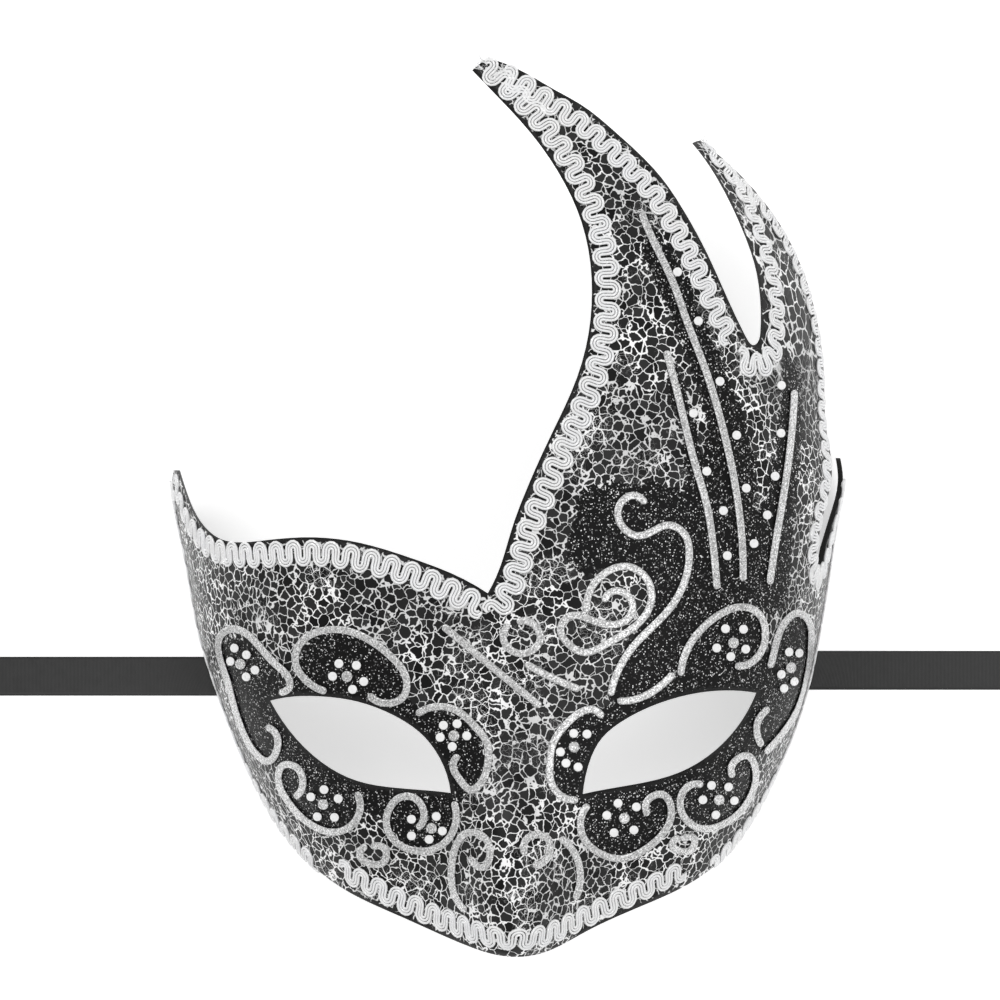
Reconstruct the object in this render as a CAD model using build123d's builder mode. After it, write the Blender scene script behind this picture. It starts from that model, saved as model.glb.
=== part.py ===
from build123d import *
import os
from math import copysign, cos, exp, hypot, pi, sin

# Venetian masquerade half mask, lying on its back as on a table.
# +Z comes out of the face, +Y runs up the face to the plume tips, +X is the wearer's left.
# All lengths are in millimetres.

# ---- driving dimensions -------------------------------------------------------------
WALL = 1.2                 # moulded plastic shell
ARCH_POWER = 2.4           # superellipse exponent of every cross arch
ARCH_STEPS = 32            # points along one arch
NOSE_SPREAD = 14.0         # half width of the nose ridge
FOOT = 6.0                 # how far the forms run below the table before the rim is cut
TALL = 110.0               # more than the height of the mask

BRAID_WIDTH = 6.8          # serpentine gimp braid
BRAID_THICK = 1.4
LINE_WIDTH = 1.9           # silver glitter glue line
LINE_THICK = 0.6
DOT_RADIUS = 1.15          # white raised dot
FLOWER_RADIUS = 1.4        # silver dot in the middle of a flower

RIBBON_WIDTH = 10.0        # satin tie
RIBBON_THICK = 0.4
RIBBON_LENGTH = 450.0
TAB_HEIGHT = 15.0          # how far the tie is glued up the inside of the temple
GLUE_THICK = 1.6
RIM_LIFT = 0.9             # notch in the rim that the tie passes under
COIL_RADIUS = 30.0         # outer turn of the wound end
COIL_INNER = 18.0

# Centre of the mask's outline, taken off every measured point below.
SHIFT_X = -0.866
SHIFT_Y = -1.002

# Where each tie bends under the rim: x, y, and the slope of the temple wall there.
LEFT_TIE = (-75.1, -45.0, -0.33)
RIGHT_TIE = (75.4, -43.5, 0.26)
TIE_END = (-136.0, 130.0)  # where each tie turns up on its edge and is wound
TURN_RUN = 28.0            # length of that turn

# Stations of the face form: y, left edge, right edge, arch height, nose height.
STATIONS = [
    (-126, -38.0, 38.0, 50.0, 10.0),
    (-113, -46.0, 46.0, 55.0, 16.0),
    (-102, -52.5, 52.5, 59.0, 19.0),
    (-92, -57.0, 58.0, 62.0, 17.0),
    (-82, -61.5, 62.5, 65.5, 12.0),
    (-72, -66.0, 66.8, 68.0, 7.0),
    (-60, -71.0, 71.8, 71.0, 3.0),
    (-46, -76.2, 76.2, 74.0, 1.0),
    (-32, -80.3, 79.0, 76.0, 0.0),
    (-18, -82.8, 81.3, 77.0, 0.0),
    (-5, -85.5, 83.3, 77.0, 0.0),
    (6, -87.2, 85.0, 76.5, 0.0),
    (18, -86.0, 82.5, 76.0, 0.0),
    (32, -84.0, 81.3, 75.0, 0.0),
    (46, -82.0, 79.5, 73.5, 0.0),
    (60, -80.0, 75.8, 71.5, 0.0),
    (74, -76.0, 69.0, 69.0, 0.0),
    (88, -70.0, 58.5, 65.5, 0.0),
    (102, -62.0, 47.0, 61.0, 0.0),
    (118, -54.0, 36.0, 55.0, 0.0),
]

# ---- front view outline ---------------------------------------------------------------
BROW_EDGE = [
    (-84.3, 7.8), (-82, 1.5), (-78.5, -5.2), (-73.5, -9.4), (-62.5, -9.9), (-50, -9),
    (-38, -10.3), (-25.3, -14), (-13, -18.8), (-6, -22.8),
]
NECK_EDGE = [
    (-6, -22.8), (-2.8, -15.9), (0, -6.7), (4.5, 5), (9.5, 16), (15.5, 29), (18.5, 39),
    (19.8, 50), (19.2, 61), (16.7, 71), (12, 81), (5.2, 91), (-2.8, 100), (-9.9, 107.5),
]
CREST_EDGE = [
    (-6.3, 110.6), (4, 106.5), (10, 103), (17.8, 98.6), (25.4, 92.5), (37.1, 81),
    (43.3, 71.8), (48.8, 61.6), (53.4, 51.5), (58.2, 41.5),
]
CROOK_EDGE = [(58.2, 41.5), (60.2, 39), (62.2, 42)]
SECOND_EDGE = [(62.2, 42), (62.3, 50), (61, 59), (57.5, 69), (52.3, 79.9), (47.8, 87), (45.4, 90)]
SECOND_TIP = [(45.4, 90), (50, 90.8), (54.5, 87.8), (60, 82.4), (66, 76)]
CHIN_EDGE = [
    (68, -70.5), (61, -81.2), (54.4, -89.4), (47, -95), (33, -101.3), (18, -107.7),
    (8, -112.2), (-1, -113), (-11.6, -110.5), (-27.8, -104), (-41.5, -98), (-49.3, -92.9),
    (-57.3, -85), (-66, -72.5),
]
OUTSIDE = 100.0            # beyond the widest place of the mask

LEFT_EYE = (
    [(-60.6, -50.1), (-55, -48.9), (-47.3, -48.7), (-39.6, -49.6), (-28.4, -53.7),
     (-22.8, -57.5), (-18.3, -63.1), (-15.2, -72.5)],
    [(-15.2, -72.5), (-27.9, -71.5), (-39.6, -69.5), (-49.8, -63.6), (-54.5, -59), (-60.6, -50.1)],
)
RIGHT_EYE = (
    [(17.6, -72.8), (19.2, -64.9), (22.2, -59), (27.3, -54.7), (33.4, -51.5), (39.5, -49.3),
     (47.8, -47.6), (61.3, -48.1)],
    [(61.3, -48.1), (56.4, -56.7), (51.8, -61.6), (42.6, -67.4), (28.3, -70.9), (17.6, -72.8)],
)

# ---- side view of the lower rims: y, z -------------------------------------------------
LOWER_RIM = [(-120, 62), (-104, 52), (-92, 33), (-82, 20), (-70, 9), (-57, 0)]
LEFT_HORN = [(-14, 0), (-6, 2), (0, 6), (5, 12.5), (9, 23)]
THIRD_PLUME = [(-10, 0), (-1, 1.5), (6, 4.5), (11, 8.5), (5, 13.5), (-3, 19.5), (-12, 26.5)]
SECOND_NOTCH = [(-12, 26.5), (-16.3, 30), (-15, 32.5), (-9, 33.5)]
SECOND_BACK = [(-9, 33.5), (0, 32.5), (10, 28.5), (22, 24.5), (40, 22), (60, 24), (78, 30), (94, 42)]


def move(points):
    """Take the outline's centre off a list of front view points."""
    return [(x - SHIFT_X, y - SHIFT_Y) for x, y in points]


def move_side(points):
    """The same for a list of side view points, y and z."""
    return [(y - SHIFT_Y, z) for y, z in points]


def arch_points(station, grow):
    """Points of one cross arch, from the left rim over the crown to the right rim."""
    _, left, right, crown, nose = station
    middle = (left + right) / 2
    half = (right - left) / 2 + grow
    points = []
    for step in range(ARCH_STEPS + 1):
        turn = pi * step / ARCH_STEPS
        across = copysign(abs(cos(turn)) ** (2 / ARCH_POWER), cos(turn))
        x = middle - half * across
        z = (crown + grow) * abs(sin(turn)) ** (2 / ARCH_POWER)
        if 0 < step < ARCH_STEPS:
            z = z + nose * exp(-((x / NOSE_SPREAD) ** 2))
        points.append((x - SHIFT_X, z))
    return points


def run_shares(points):
    """How far along its length each point of an arch lies, from 0 to 1."""
    lengths = [0.0]
    for (x0, z0), (x1, z1) in zip(points, points[1:]):
        lengths.append(lengths[-1] + hypot(x1 - x0, z1 - z0))
    return [length / lengths[-1] for length in lengths]


# Every arch shares these, so the lofted surface stays light.
ARCH_SHARES = run_shares(arch_points(STATIONS[len(STATIONS) // 2], 0))


def face_form(grow):
    """The solid under the face surface, grown outward by `grow`."""
    with BuildPart() as form:
        for station in STATIONS:
            arch = arch_points(station, grow)
            with BuildSketch(Plane.XZ.offset(SHIFT_Y - station[0])):
                with BuildLine():
                    add(Edge.make_spline(arch, parameters=ARCH_SHARES))
                    Polyline(arch[-1], (arch[-1][0], -FOOT), (arch[0][0], -FOOT), arch[0])
                make_face()
        loft()
    return form.part


def layer(low, high):
    """A skin that follows the face form between two offsets from it."""
    with BuildPart() as skin:
        add(face_form(high))
        add(face_form(low), mode=Mode.SUBTRACT)
    return skin.part


def strip(skin, plane, points, width, away):
    """The part of a skin under a band of even width, drawn in a plane and pushed through."""
    with BuildPart() as band:
        with BuildSketch(plane):
            with BuildLine():
                Spline(*points)
            trace(line_width=width)
        extrude(amount=away)
        add(skin, mode=Mode.INTERSECT)
    return band.part


def save(name, part):
    """Label a finished piece and write it."""
    part.label = name
    export_step(part, f"parts/{name}.step")
    print(name, len(part.solids()), round(part.volume, 2), part.is_valid)


os.makedirs("parts", exist_ok=True)
FACE = face_form(0)
BACK = face_form(-WALL)
LINE_SKIN = layer(0, LINE_THICK)
BRAID_SKIN = layer(0, BRAID_THICK)

BACK = face_form(-WALL)

# ---- mask_shell ------------------------------------------------------------------------
with BuildPart() as mask_shell:
    add(FACE)
    add(BACK, mode=Mode.SUBTRACT)
    with BuildSketch(Plane.XY.offset(-FOOT - 1)):
        with BuildLine():
            brow = Spline(*move(BROW_EDGE))
            neck = Spline(*move(NECK_EDGE))
            crest = Spline(*move(CREST_EDGE))
            Line(neck @ 1, crest @ 0)
            Spline(*move(CROOK_EDGE), tangents=[crest % 1, (0.1, 1)])
            Spline(*move(SECOND_EDGE))
            second_tip = Spline(*move(SECOND_TIP))
            chin = Spline(*move(CHIN_EDGE))
            Polyline(second_tip @ 1, (OUTSIDE, 60), (OUTSIDE, -60), chin @ 0)
            Polyline(chin @ 1, (-OUTSIDE, -60), (-OUTSIDE, 9), brow @ 0)
        make_face()
    extrude(amount=TALL, mode=Mode.INTERSECT)
    with BuildSketch(Plane.XY.offset(20)):
        for upper, lower in (LEFT_EYE, RIGHT_EYE):
            with BuildLine():
                Spline(*move(upper))
                Spline(*move(lower))
            make_face()
    extrude(amount=TALL, mode=Mode.SUBTRACT)
    # Lower rims, cut from the side: the left one ends in the horn, the right one in the
    # small third plume with a notch between it and the second plume.
    with BuildSketch(Plane.YZ.offset(-OUTSIDE)):
        with BuildLine():
            left_rim = Spline(*move_side(LOWER_RIM))
            left_horn = Spline(*move_side(LEFT_HORN))
            Line(left_rim @ 1, left_horn @ 0)
            Polyline(left_horn @ 1, (OUTSIDE, 23), (OUTSIDE, -2 * FOOT), (-130, -2 * FOOT), left_rim @ 0)
        make_face()
    extrude(amount=OUTSIDE - 30, mode=Mode.SUBTRACT)
    with BuildSketch(Plane.YZ.offset(30)):
        with BuildLine():
            right_rim = Spline(*move_side(LOWER_RIM))
            third = Spline(*move_side(THIRD_PLUME))
            notch = Spline(*move_side(SECOND_NOTCH))
            back = Spline(*move_side(SECOND_BACK))
            Line(right_rim @ 1, third @ 0)
            Polyline(back @ 1, (OUTSIDE + 30, 42), (OUTSIDE + 30, -2 * FOOT), (-130, -2 * FOOT), right_rim @ 0)
        make_face()
    extrude(amount=OUTSIDE, mode=Mode.SUBTRACT)
    # Two low arches in the rim for the ties.
    for tie_x, tie_y, slope in (LEFT_TIE, RIGHT_TIE):
        with BuildSketch(Plane.XY.offset(-FOOT)):
            with Locations((tie_x - SHIFT_X, tie_y - SHIFT_Y)):
                Rectangle(30, RIBBON_WIDTH + 3)
        extrude(amount=FOOT + RIM_LIFT, mode=Mode.SUBTRACT)
save("mask_shell", mask_shell.part)

# ---- gimp braid round the edges ----------------------------------------------------------
FRONT = Plane.XY.offset(20)
BRAID_BROW = [
    (-85.2, 5), (-83.8, -1), (-80.6, -7.5), (-75.5, -12.4), (-69, -13.6), (-60, -13.4),
    (-50, -12.7), (-40, -13.8), (-30, -16.4), (-20, -20), (-12, -23.8),
]
BRAID_NECK = [
    (-4, -27.6), (-0.2, -22), (2.2, -14.5), (4.4, -6.7), (9, 4.4), (14, 15), (19.7, 27.6),
    (22.8, 38.5), (24, 50), (23.2, 62), (20.4, 72.8), (15.4, 83.2), (8.4, 93.4), (0.6, 102),
    (-6.8, 108.4),
]
BRAID_CREST = [
    (2, 103.4), (8.4, 99.6), (15.6, 95.2), (22.8, 89.3), (34, 78.2), (39.8, 69.6),
    (45.2, 59.4), (49.8, 49.2), (54.6, 39.4),
]
BRAID_SECOND = [
    (57.4, 35.4), (61.6, 33.8), (65.4, 37), (66.4, 43), (66.2, 50.4), (64.8, 60), (61, 71.4),
    (55.8, 81.8), (50, 88.4),
]
BRAID_CHIN = [
    (-43, -92.2), (-28, -100), (-12, -106.2), (-1, -108.8), (8, -108), (18, -103.6),
    (32, -97.3), (43.5, -92.4),
]
BRAID_LEFT_SIDE = [
    (-96, 42), (-90, 35.6), (-80.6, 24), (-69, 13.2), (-58, 5.6), (-46, 4.6), (-30, 4.6), (-14, 4.8),
    (-7, 6.6), (-2, 9.8), (2.5, 15.6), (4.6, 22),
]
BRAID_RIGHT_SIDE = [
    (-96, 42), (-90, 35.6), (-80.6, 24), (-69, 13.2), (-58, 5.6), (-46, 4.6), (-30, 4.6), (-12, 4.6),
    (-3, 5.4), (4, 7.6),
]
BRAID_NOTCH = [
    (2, 12), (-6.4, 17), (-15, 23.4), (-20, 29.4), (-18.6, 35.4), (-11, 37.8), (0, 36.6),
    (10, 32.8), (22, 28.6), (40, 26.2), (58, 28), (74, 33),
]

braid_brow = strip(BRAID_SKIN, FRONT, move(BRAID_BROW), BRAID_WIDTH, TALL)
with BuildPart() as braid_neck:
    add(strip(BRAID_SKIN, FRONT, move(BRAID_NECK), BRAID_WIDTH, TALL))
    add(braid_brow, mode=Mode.SUBTRACT)
with BuildPart() as braid_crest:
    add(strip(BRAID_SKIN, FRONT, move(BRAID_CREST), BRAID_WIDTH, TALL))
    add(braid_neck.part, mode=Mode.SUBTRACT)
with BuildPart() as braid_second_plume:
    add(strip(BRAID_SKIN, FRONT, move(BRAID_SECOND), BRAID_WIDTH, TALL))
    add(braid_crest.part, mode=Mode.SUBTRACT)
braid_chin = strip(BRAID_SKIN, FRONT, move(BRAID_CHIN), BRAID_WIDTH, TALL)
LEFT_PLANE = Plane.YZ.offset(-OUTSIDE)
RIGHT_PLANE = Plane.YZ.offset(42)
with BuildPart() as braid_left_side:
    add(strip(BRAID_SKIN, LEFT_PLANE, move_side(BRAID_LEFT_SIDE), BRAID_WIDTH, OUTSIDE - 42))
    add(braid_brow, mode=Mode.SUBTRACT)
    add(braid_chin, mode=Mode.SUBTRACT)
with BuildPart() as braid_notch:
    add(strip(BRAID_SKIN, RIGHT_PLANE, move_side(BRAID_NOTCH), BRAID_WIDTH, OUTSIDE))
    add(braid_second_plume.part, mode=Mode.SUBTRACT)
with BuildPart() as braid_right_side:
    add(strip(BRAID_SKIN, RIGHT_PLANE, move_side(BRAID_RIGHT_SIDE), BRAID_WIDTH, OUTSIDE))
    add(braid_notch.part, mode=Mode.SUBTRACT)
    add(braid_chin, mode=Mode.SUBTRACT)
save("braid_brow", braid_brow)
save("braid_neck", braid_neck.part)
save("braid_crest", braid_crest.part)
save("braid_second_plume", braid_second_plume.part)
save("braid_chin", braid_chin)
save("braid_left_side", braid_left_side.part)
save("braid_right_side", braid_right_side.part)
save("braid_notch", braid_notch.part)

# ---- silver glitter glue lines -------------------------------------------------------------
GLITTER = {
    "left_temple": [[
        (-57.4, -47.8), (-55.4, -46), (-56.4, -43.2), (-58.6, -41.2), (-61.8, -38), (-65, -34.5),
        (-69, -32.2), (-73.3, -33.8), (-74, -38.5), (-72, -45), (-70.5, -51), (-68, -58.5),
        (-65, -63.5), (-61.5, -65.6), (-59, -62.5), (-61, -57)]],
    "left_brow": [[
        (-47, -47.2), (-51.5, -44.5), (-54, -40), (-52.3, -35), (-47, -32.2), (-41, -32.2),
        (-34.5, -35), (-29.5, -39), (-26.2, -44), (-27, -48.6), (-31, -50.2), (-35, -48.6)]],
    "left_inner": [[
        (-23, -52.5), (-19, -51), (-13.5, -52), (-9.5, -55.5), (-6.2, -60), (-6, -65),
        (-7.4, -69.4), (-10, -71.6), (-13, -69), (-14.6, -66), (-13.8, -63.6)]],
    "left_cheek": [[
        (-54, -74), (-52.4, -70.6), (-54, -66.8), (-57.4, -66.4), (-58.8, -70), (-57.2, -74.5),
        (-54, -78.6), (-50, -81.6), (-44.5, -83), (-40, -81), (-38, -77.5), (-38.4, -73.4)]],
    "left_nose_side": [[
        (-23, -81), (-22, -77), (-24, -74), (-27.4, -73.6), (-30.4, -76.4), (-31.2, -81),
        (-29, -85), (-25, -87), (-20, -86.8), (-16, -84.2), (-14, -80), (-14.2, -75.4)]],
    "right_inner": [[
        (22, -53), (19.4, -51.6), (16, -53), (12.8, -56), (10.2, -60), (9.4, -65), (9.8, -70),
        (12, -73), (15.6, -74.2)]],
    "right_brow": [[
        (42, -42.5), (43.5, -37), (47.5, -31.5), (52.5, -27.8), (57.5, -26.4), (61.5, -28),
        (63.4, -32), (63, -36.4), (60.4, -40), (56.5, -41.2)]],
    "right_temple": [
        [(65, -41), (66.5, -35), (69, -30), (72, -28.2), (74.8, -30), (76, -35), (75, -45),
         (72.5, -53), (68.8, -58.5), (64.5, -63)],
        [(64, -52.5), (61.6, -56), (62.6, -61)]],
    "right_nose_side": [[
        (18.5, -76), (17, -80), (18.2, -84.4), (22, -87.8), (27.5, -89.2), (34, -86.5),
        (38.5, -82), (39.8, -77), (37.6, -73.2), (34.4, -74), (33.6, -77.6)]],
    "right_cheek": [[
        (47, -70.8), (43.6, -71.6), (42, -75), (43.2, -79.2), (47, -82), (53, -81.4), (58, -78),
        (61, -73), (61.4, -67.6), (59.2, -64), (56.2, -65), (55.2, -68.6)]],
    "swan_neck": [[
        (32.6, 0), (29, 1.2), (26.4, -1.6), (27.4, -6.4), (31, -8.6), (35, -7.4), (39, -6),
        (42.6, -8), (44, -13.5), (43, -19.5), (40, -25.5), (35, -31), (30.5, -35.5), (26.8, -41),
        (24.6, -47.4)], [(27, -49.6), (32.4, -48.6), (36.5, -46.2), (39.6, -43.4)]],
    "swan_wing": [[
        (18.5, -26.6), (19.6, -21.6), (23.4, -17.6), (28.4, -16.2), (33, -18.8), (34.6, -24),
        (32.5, -29), (28, -32.8), (23, -35.6), (18, -37.5), (14, -35.4), (12, -31.6), (14, -28.6),
        (20, -29.6), (24, -30.6), (28.4, -29.4), (29.8, -25.4), (27, -22.4), (23, -24.2)]],
    "bridge": [
        [(-16.5, -31.4), (-11, -36), (-5, -41), (6.5, -50.4)],
        [(4, -40.6), (9.6, -43.6), (16, -46.4)],
        [(2, -29.8), (6, -31.2), (7, -34), (4.6, -37.2), (0.6, -37.4), (-2, -34.6), (-1.4, -31.2)]],
    "nose_left": [[
        (-10, -89), (-7, -90.6), (-5.4, -87), (-7.2, -83), (-11, -82.2), (-14, -86), (-15, -91),
        (-14.6, -97), (-12, -101.4)]],
    "nose_right": [
        [(6, -90), (9.2, -87.4), (8.6, -83.4), (5, -82.8), (3, -86.6)],
        [(12.6, -84), (15.6, -87.6), (17, -93), (16, -98.4)]],
    "left_cheek_ring": [[(-34.4, -86.2), (-31.4, -87.6), (-32, -90.2), (-35, -90.8), (-38, -89), (-37, -86.6)]],
    "right_cheek_ring": [[(43.2, -84.4), (45.8, -85), (45.2, -87.2), (42.4, -87.8), (40.2, -86.2), (41.2, -84.4)]],
    "plume_line_long": [[
        (32.5, 71), (36, 63), (40, 54.5), (43.4, 45), (48, 33), (52, 20), (55, 7), (57, -6), (57.6, -19)]],
    "plume_line_middle": [[(38.5, 36.5), (42.5, 21), (45.5, 9), (48.5, -1.5), (50, -11), (51, -21)]],
    "plume_line_outer": [[(71, 27), (69.6, 12), (67.5, -1.5), (64.6, -20)]],
}


def glitter_line(routes):
    """Round-ended lines of glue that follow front view routes over the face."""
    with BuildPart() as line:
        with BuildSketch(FRONT):
            for route in routes:
                with BuildLine(mode=Mode.PRIVATE) as path:
                    Spline(*move(route))
                trace(path.line, line_width=LINE_WIDTH)
                with Locations(path.line @ 0, path.line @ 1):
                    Circle(LINE_WIDTH / 2)
        extrude(amount=TALL)
        add(LINE_SKIN, mode=Mode.INTERSECT)
    return line.part


for place, routes in GLITTER.items():
    save(f"glitter_{place}", glitter_line(routes))

# ---- white raised dots and the silver centres of the flowers ----------------------------------
FLOWERS = {
    "left": [
        ((-68.25, -41), [(-69.75, -37), (-66.6, -38.6), (-70.9, -40.4), (-66.75, -44.2), (-64.4, -42.4)]),
        ((-41, -43.6), [(-43, -40.4), (-38.6, -40.8), (-44.6, -43.6), (-36.8, -44.8), (-39.6, -46.8)]),
        ((-14.4, -58.2), [(-17, -55.6), (-17.8, -58.6), (-13.6, -55.2), (-11.2, -58.2), (-14.8, -60.9)]),
        ((-47.25, -76), [(-47, -72.2), (-50.4, -74.2), (-43.4, -74.4), (-48.8, -79.2), (-44.4, -79.2)]),
        ((-20, -81.4), [(-18.8, -78.4), (-25, -79.2), (-17.3, -82), (-20.6, -84.2), (-25, -83.4)]),
    ],
    "right": [
        ((15.4, -61), [(15.3, -57.6), (18.6, -57.8), (12, -62.2), (13.4, -65), (16.4, -66)]),
        ((55.25, -35.4), [(53.2, -31.8), (57.8, -32), (51, -36.6), (58.4, -37), (54.6, -38.8)]),
        ((70.4, -42), [(69.8, -38), (72.6, -38.4), (67.8, -43.6), (71.4, -45.6), (68.6, -47.2)]),
        ((28, -79), [(26.4, -75.2), (23.6, -78.2), (31, -76.2), (25.4, -82.6), (30.4, -82)]),
        ((52, -75), [(50, -71.2), (54.4, -71.8), (47.8, -74.8), (56, -75.4), (51.2, -78.8)]),
    ],
}
PLUME_DOTS = [
    (41.2, 57), (46.4, 44.8), (51.8, 29.8), (45.1, 21.8), (56, 16.4), (67.4, 17), (48.4, 7.4),
    (65.8, 6.2), (58.4, 3.2), (63.8, -3.5), (52.6, -2.4), (60.4, -10.6), (53.6, -13.6), (67.6, 29),
]


def dots(places, radius):
    """Round drops of paint on the face."""
    with BuildPart() as drops:
        with BuildSketch(FRONT):
            with Locations(*move(places)):
                Circle(radius)
        extrude(amount=TALL)
        add(LINE_SKIN, mode=Mode.INTERSECT)
    return drops.part


for side, flowers in FLOWERS.items():
    petals = [place for _, around in flowers for place in around]
    save(f"white_dots_{side}_eye", dots(petals, DOT_RADIUS))
    save(f"silver_dots_{side}_eye", dots([centre for centre, _ in flowers], FLOWER_RADIUS))
save("white_dots_plume", dots(PLUME_DOTS, DOT_RADIUS))

# ---- satin ties ---------------------------------------------------------------------------------
TAB_SKIN = layer(-WALL - RIBBON_THICK, -WALL)
GLUE_SKIN = layer(-WALL - RIBBON_THICK - GLUE_THICK, -WALL)
TAB_FOOT = 0.8             # the tab stops this far above the table
GLUE_HEIGHT = 9.0


def temple_piece(skin, side, tie_y, profile_height, low):
    """A rectangle of a skin inside the temple, seen from the side."""
    with BuildPart() as piece:
        with BuildSketch(Plane.YZ):
            with Locations((tie_y - SHIFT_Y, low + profile_height / 2)):
                Rectangle(RIBBON_WIDTH, profile_height)
        extrude(amount=side * OUTSIDE)
        add(skin, mode=Mode.INTERSECT)
    return piece.part


def glue_blob(side, tie_y, tab):
    """Hot melt glue pressed over the tab."""
    with BuildPart() as blob:
        with BuildSketch(Plane.YZ):
            with Locations((tie_y - SHIFT_Y, GLUE_HEIGHT)):
                Ellipse(RIBBON_WIDTH * 0.85, GLUE_HEIGHT / 2)
        extrude(amount=side * OUTSIDE)
        add(GLUE_SKIN, mode=Mode.INTERSECT)
        add(tab, mode=Mode.SUBTRACT)
    return blob.part


for name, side, tie, end_x in (
    ("left", -1, LEFT_TIE, TIE_END[0]),
    ("right", 1, RIGHT_TIE, TIE_END[1]),
):
    hinge_x, tie_y, slope = tie[0] - SHIFT_X, tie[1] - SHIFT_Y, tie[2]
    half = RIBBON_WIDTH / 2
    tab = temple_piece(TAB_SKIN, side, tie[1], TAB_HEIGHT, TAB_FOOT)
    save(f"tie_tab_{name}", tab)
    save(f"glue_pad_{name}", glue_blob(side, tie[1], tab))
    inner_x = hinge_x - side * RIBBON_THICK / 2
    with BuildPart() as tie_strip:
        with BuildSketch():
            with BuildLine():
                Polyline(
                    (inner_x - slope * half, tie_y - half),
                    (end_x, tie_y - half),
                    (end_x, tie_y + half),
                    (inner_x + slope * half, tie_y + half),
                    close=True,
                )
            make_face()
        extrude(amount=RIBBON_THICK)
    save(f"tie_{name}", tie_strip.part)
    coil_x = end_x + side * TURN_RUN
    coil_y = tie_y + RIBBON_THICK / 2 - COIL_RADIUS
    with BuildPart() as tie_coil:
        with BuildSketch():
            with Locations((coil_x, coil_y)):
                Circle(COIL_RADIUS)
                Circle(COIL_INNER, mode=Mode.SUBTRACT)
            with Locations(((end_x + coil_x) / 2, tie_y)):
                Rectangle(TURN_RUN, RIBBON_THICK)
        extrude(amount=RIBBON_WIDTH)
    save(f"tie_coil_{name}", tie_coil.part)
    print(name, "hinge at", (hinge_x, tie_y), "coil at", (coil_x, coil_y))
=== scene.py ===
# %% [markdown]
# # Venetian masquerade mask
# A moulded plastic half mask lies on its back on a pale table. White crackle paint covers
# it, black glitter paint fills the fields round the eyes, silver glue draws the scrolls,
# serpentine braid hides the cut edges and two satin ties are glued inside the temples.
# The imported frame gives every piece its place, so each look is built on the frame. The
# mask could be modelled again here, but then sizes and joints would drift from the CAD.

# %% Load the frame
import math
import random
import bmesh
import bpy
import numpy as np
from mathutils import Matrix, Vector
from mathutils.bvhtree import BVHTree
from mathutils.kdtree import KDTree


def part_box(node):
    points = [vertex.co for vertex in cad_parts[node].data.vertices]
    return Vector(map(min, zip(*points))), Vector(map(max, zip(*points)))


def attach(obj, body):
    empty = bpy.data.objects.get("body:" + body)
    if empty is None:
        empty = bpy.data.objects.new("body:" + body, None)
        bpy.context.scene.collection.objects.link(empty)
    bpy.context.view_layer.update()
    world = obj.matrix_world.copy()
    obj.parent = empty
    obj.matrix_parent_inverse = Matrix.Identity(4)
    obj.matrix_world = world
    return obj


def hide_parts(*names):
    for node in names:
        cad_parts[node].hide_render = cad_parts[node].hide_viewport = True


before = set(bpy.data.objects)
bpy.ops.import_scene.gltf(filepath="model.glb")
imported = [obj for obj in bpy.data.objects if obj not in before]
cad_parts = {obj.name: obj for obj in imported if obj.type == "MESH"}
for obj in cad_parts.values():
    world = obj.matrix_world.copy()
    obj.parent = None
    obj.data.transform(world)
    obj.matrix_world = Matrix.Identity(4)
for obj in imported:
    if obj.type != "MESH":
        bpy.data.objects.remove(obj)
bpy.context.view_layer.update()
MM = 0.001
SHIFT = Vector((0.866, 1.002)) * MM     # the frame's origin, from the mask's own centre line
MASK = "mask"


# %% [markdown]
# ## Skin to work on
# The real mask is one moulded shell, and every decoration follows it. Trimmings could be
# laid on it with a Shrinkwrap modifier, but a tree of the shell's triangles gives more
# say over each point: it finds the point under a front view place, and the nearest one.
# The frame's triangles are loose, so a copy is merged first and its long edges are split.

# %% Copy a frame node and merge its triangles
DOUBLES = 0.002 * MM
SKIN_EDGE = 2.2 * MM
SPLIT_ROUNDS = 7


def merged_copy(node, name):
    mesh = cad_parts[node].data.copy()
    mesh.name = name
    work = bmesh.new()
    work.from_mesh(mesh)
    bmesh.ops.remove_doubles(work, verts=work.verts, dist=DOUBLES)
    work.to_mesh(mesh)
    work.free()
    piece = bpy.data.objects.new(name, mesh)
    bpy.context.scene.collection.objects.link(piece)
    return piece


def refine(piece, longest):
    """Split every edge longer than `longest` until none is left."""
    work = bmesh.new()
    work.from_mesh(piece.data)
    for _ in range(SPLIT_ROUNDS):
        long_edges = [e for e in work.edges if e.calc_length() > longest]
        if not long_edges:
            break
        bmesh.ops.subdivide_edges(work, edges=long_edges, cuts=1)
        bmesh.ops.triangulate(work, faces=[f for f in work.faces if len(f.verts) > 3])
    work.to_mesh(piece.data)
    work.free()
    piece.data.validate()


shell = merged_copy("mask_shell", "mask_shell_skin")
refine(shell, SKIN_EDGE)
skin_points = [v.co for v in shell.data.vertices]
tree = BVHTree.FromPolygons(skin_points, [p.vertices for p in shell.data.polygons])
print("shell vertices", len(shell.data.vertices))


# %% Find the face under a place
ABOVE = 0.2
DOWN = Vector((0, 0, -1))
RIM_HEIGHT = 0.03


def under(x, y):
    """The face's point under a front view place in millimetres, or the nearest one."""
    start = Vector((x * MM + SHIFT.x, y * MM + SHIFT.y, ABOVE))
    point, _, _, _ = tree.ray_cast(start, DOWN)
    if point is None:
        start.z = RIM_HEIGHT
        point, _, _, _ = tree.find_nearest(start)
    return point


print("height over the bridge of the nose", round(under(0, -60).z / MM, 1), "mm")


# %% [markdown]
# ## Helpers for shaders
# Every finish on the mask is a small chain of nodes. The chains could be typed out link
# by link, but a few helpers that add a node and wire it keep each finish short enough to
# read. Effects that several finishes share, such as glitter flakes, become node groups.

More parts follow.
